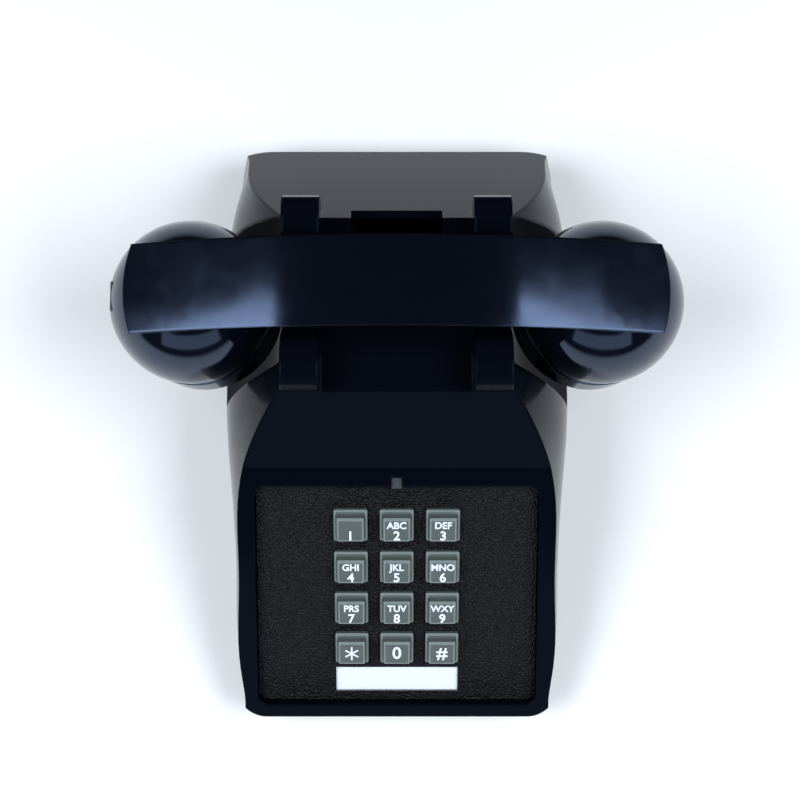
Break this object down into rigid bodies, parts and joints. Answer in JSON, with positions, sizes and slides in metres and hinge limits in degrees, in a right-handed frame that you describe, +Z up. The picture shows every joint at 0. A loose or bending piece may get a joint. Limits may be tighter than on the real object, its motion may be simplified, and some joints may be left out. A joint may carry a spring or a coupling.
{
  "type": "desk telephone",
  "caption": "Glossy black push-button desk telephone with a lift-off handset across its cradle, sloping keypad deck, bell ringer and modular jacks.",
  "frame": {"origin": "on the table under the middle of the whole phone's bounding box", "axes": "+X to the user's right, +Y from the user to the back of the phone, +Z up"},
  "size_m": [0.2232, 0.2436, 0.1222],
  "materials": {
    "shell_black": "gloss",
    "panel_black": "matte",
    "key_grey": "satin",
    "card": "matte",
    "clear": "gloss",
    "steel": "satin",
    "brass": "satin",
    "bronze": "satin",
    "copper_wire": "satin",
    "rubber": "matte",
    "board": "satin",
    "plastic_grey": "satin",
    "plastic_white": "satin",
    "wire_red": "satin",
    "wire_green": "satin",
    "wire_black": "satin",
    "wire_yellow": "satin"
  },
  "bodies": {
    "base": {"housing": "shell_black", "base_plate": "steel", "housing_screws": "steel", "rubber_feet": "rubber", "faceplate": "panel_black", "number_card": "card", "card_window": "clear", "faceplate_clip": "plastic_grey", "keypad_frame": "plastic_white", "keypad_board": "board", "contact_domes": "bronze", "keypad_brackets": "steel", "gong_low": "brass", "gong_high": "brass", "gong_posts": "steel", "gong_screws": "steel", "ringer_frame": "steel", "ringer_coil": "copper_wire", "ringer_magnet": "steel", "clapper_shaft": "steel", "volume_bracket": "steel", "hook_pin": "steel", "hook_bracket": "steel", "contact_block": "board", "contact_springs": "bronze", "network_block": "plastic_grey", "network_terminals": "steel", "line_jack": "plastic_grey", "cord_jack": "plastic_grey", "wires_red": "wire_red", "wires_green": "wire_green", "wires_black": "wire_black", "wires_yellow": "wire_yellow"},
    "handset": {"handset_shell": "shell_black", "ear_cap": "shell_black", "mouth_cap": "shell_black", "receiver_unit": "steel", "transmitter_unit": "steel", "transmitter_cup": "plastic_grey", "handset_jack": "plastic_grey", "handset_leads": "wire_green"},
    "left_plunger": {"plunger_left": "plastic_white"},
    "right_plunger": {"plunger_right": "plastic_white"},
    "switch_lever": {"hook_lever": "steel"},
    "clapper_arm": {"clapper": "steel"},
    "thumb_wheel": {"volume_wheel": "plastic_grey"},
    "button_1": {"key_1": "key_grey"},
    "button_2": {"key_2": "key_grey"},
    "button_3": {"key_3": "key_grey"},
    "button_4": {"key_4": "key_grey"},
    "button_5": {"key_5": "key_grey"},
    "button_6": {"key_6": "key_grey"},
    "button_7": {"key_7": "key_grey"},
    "button_8": {"key_8": "key_grey"},
    "button_9": {"key_9": "key_grey"},
    "button_star": {"key_star": "key_grey"},
    "button_0": {"key_0": "key_grey"},
    "button_pound": {"key_pound": "key_grey"}
  },
  "joints": [
    {"name": "handset_lift", "type": "slide", "parent": "base", "child": "handset", "axis": [0, 0, 1], "range_m": [0, 0.12]},
    {"name": "plunger_left_rise", "type": "slide", "parent": "base", "child": "left_plunger", "axis": [0, 0, 1], "range_m": [0, 0.007]},
    {"name": "plunger_right_rise", "type": "slide", "parent": "base", "child": "right_plunger", "axis": [0, 0, 1], "range_m": [0, 0.007]},
    {"name": "switch_turn", "type": "hinge", "parent": "base", "child": "switch_lever", "pos_m": [0, 0.067, 0.062], "axis": [-1, 0, 0], "range_deg": [0, 12.5]},
    {"name": "clapper_swing", "type": "hinge", "parent": "base", "child": "clapper_arm", "pos_m": [0, 0.042, 0.022], "axis": [0, 0, 1], "range_deg": [-2, 2], "stiffness_Nm_per_rad": 0.005},
    {"name": "wheel_turn", "type": "hinge", "parent": "base", "child": "thumb_wheel", "pos_m": [-0.052, 0.07, 0.0154], "axis": [1, 0, 0], "range_deg": [-75, 75]},
    {"name": "press_1", "type": "slide", "parent": "base", "child": "button_1", "axis": [0, 0.4749, -0.8801], "range_m": [0, 0.0025], "stiffness_N_per_m": 150, "springref_m": -0.002},
    {"name": "press_2", "type": "slide", "parent": "base", "child": "button_2", "axis": [0, 0.4749, -0.8801], "range_m": [0, 0.0025], "stiffness_N_per_m": 150, "springref_m": -0.002},
    {"name": "press_3", "type": "slide", "parent": "base", "child": "button_3", "axis": [0, 0.4749, -0.8801], "range_m": [0, 0.0025], "stiffness_N_per_m": 150, "springref_m": -0.002},
    {"name": "press_4", "type": "slide", "parent": "base", "child": "button_4", "axis": [0, 0.4749, -0.8801], "range_m": [0, 0.0025], "stiffness_N_per_m": 150, "springref_m": -0.002},
    {"name": "press_5", "type": "slide", "parent": "base", "child": "button_5", "axis": [0, 0.4749, -0.8801], "range_m": [0, 0.0025], "stiffness_N_per_m": 150, "springref_m": -0.002},
    {"name": "press_6", "type": "slide", "parent": "base", "child": "button_6", "axis": [0, 0.4749, -0.8801], "range_m": [0, 0.0025], "stiffness_N_per_m": 150, "springref_m": -0.002},
    {"name": "press_7", "type": "slide", "parent": "base", "child": "button_7", "axis": [0, 0.4749, -0.8801], "range_m": [0, 0.0025], "stiffness_N_per_m": 150, "springref_m": -0.002},
    {"name": "press_8", "type": "slide", "parent": "base", "child": "button_8", "axis": [0, 0.4749, -0.8801], "range_m": [0, 0.0025], "stiffness_N_per_m": 150, "springref_m": -0.002},
    {"name": "press_9", "type": "slide", "parent": "base", "child": "button_9", "axis": [0, 0.4749, -0.8801], "range_m": [0, 0.0025], "stiffness_N_per_m": 150, "springref_m": -0.002},
    {"name": "press_star", "type": "slide", "parent": "base", "child": "button_star", "axis": [0, 0.4749, -0.8801], "range_m": [0, 0.0025], "stiffness_N_per_m": 150, "springref_m": -0.002},
    {"name": "press_0", "type": "slide", "parent": "base", "child": "button_0", "axis": [0, 0.4749, -0.8801], "range_m": [0, 0.0025], "stiffness_N_per_m": 150, "springref_m": -0.002},
    {"name": "press_pound", "type": "slide", "parent": "base", "child": "button_pound", "axis": [0, 0.4749, -0.8801], "range_m": [0, 0.0025], "stiffness_N_per_m": 150, "springref_m": -0.002}
  ],
  "couplings": [
    {"joint": "plunger_left_rise", "follows": "handset_lift", "ratio": 0.058327},
    {"joint": "plunger_right_rise", "follows": "handset_lift", "ratio": 0.058327},
    {"joint": "switch_turn", "follows": "handset_lift", "rad_per_m": 1.8179}
  ]
}
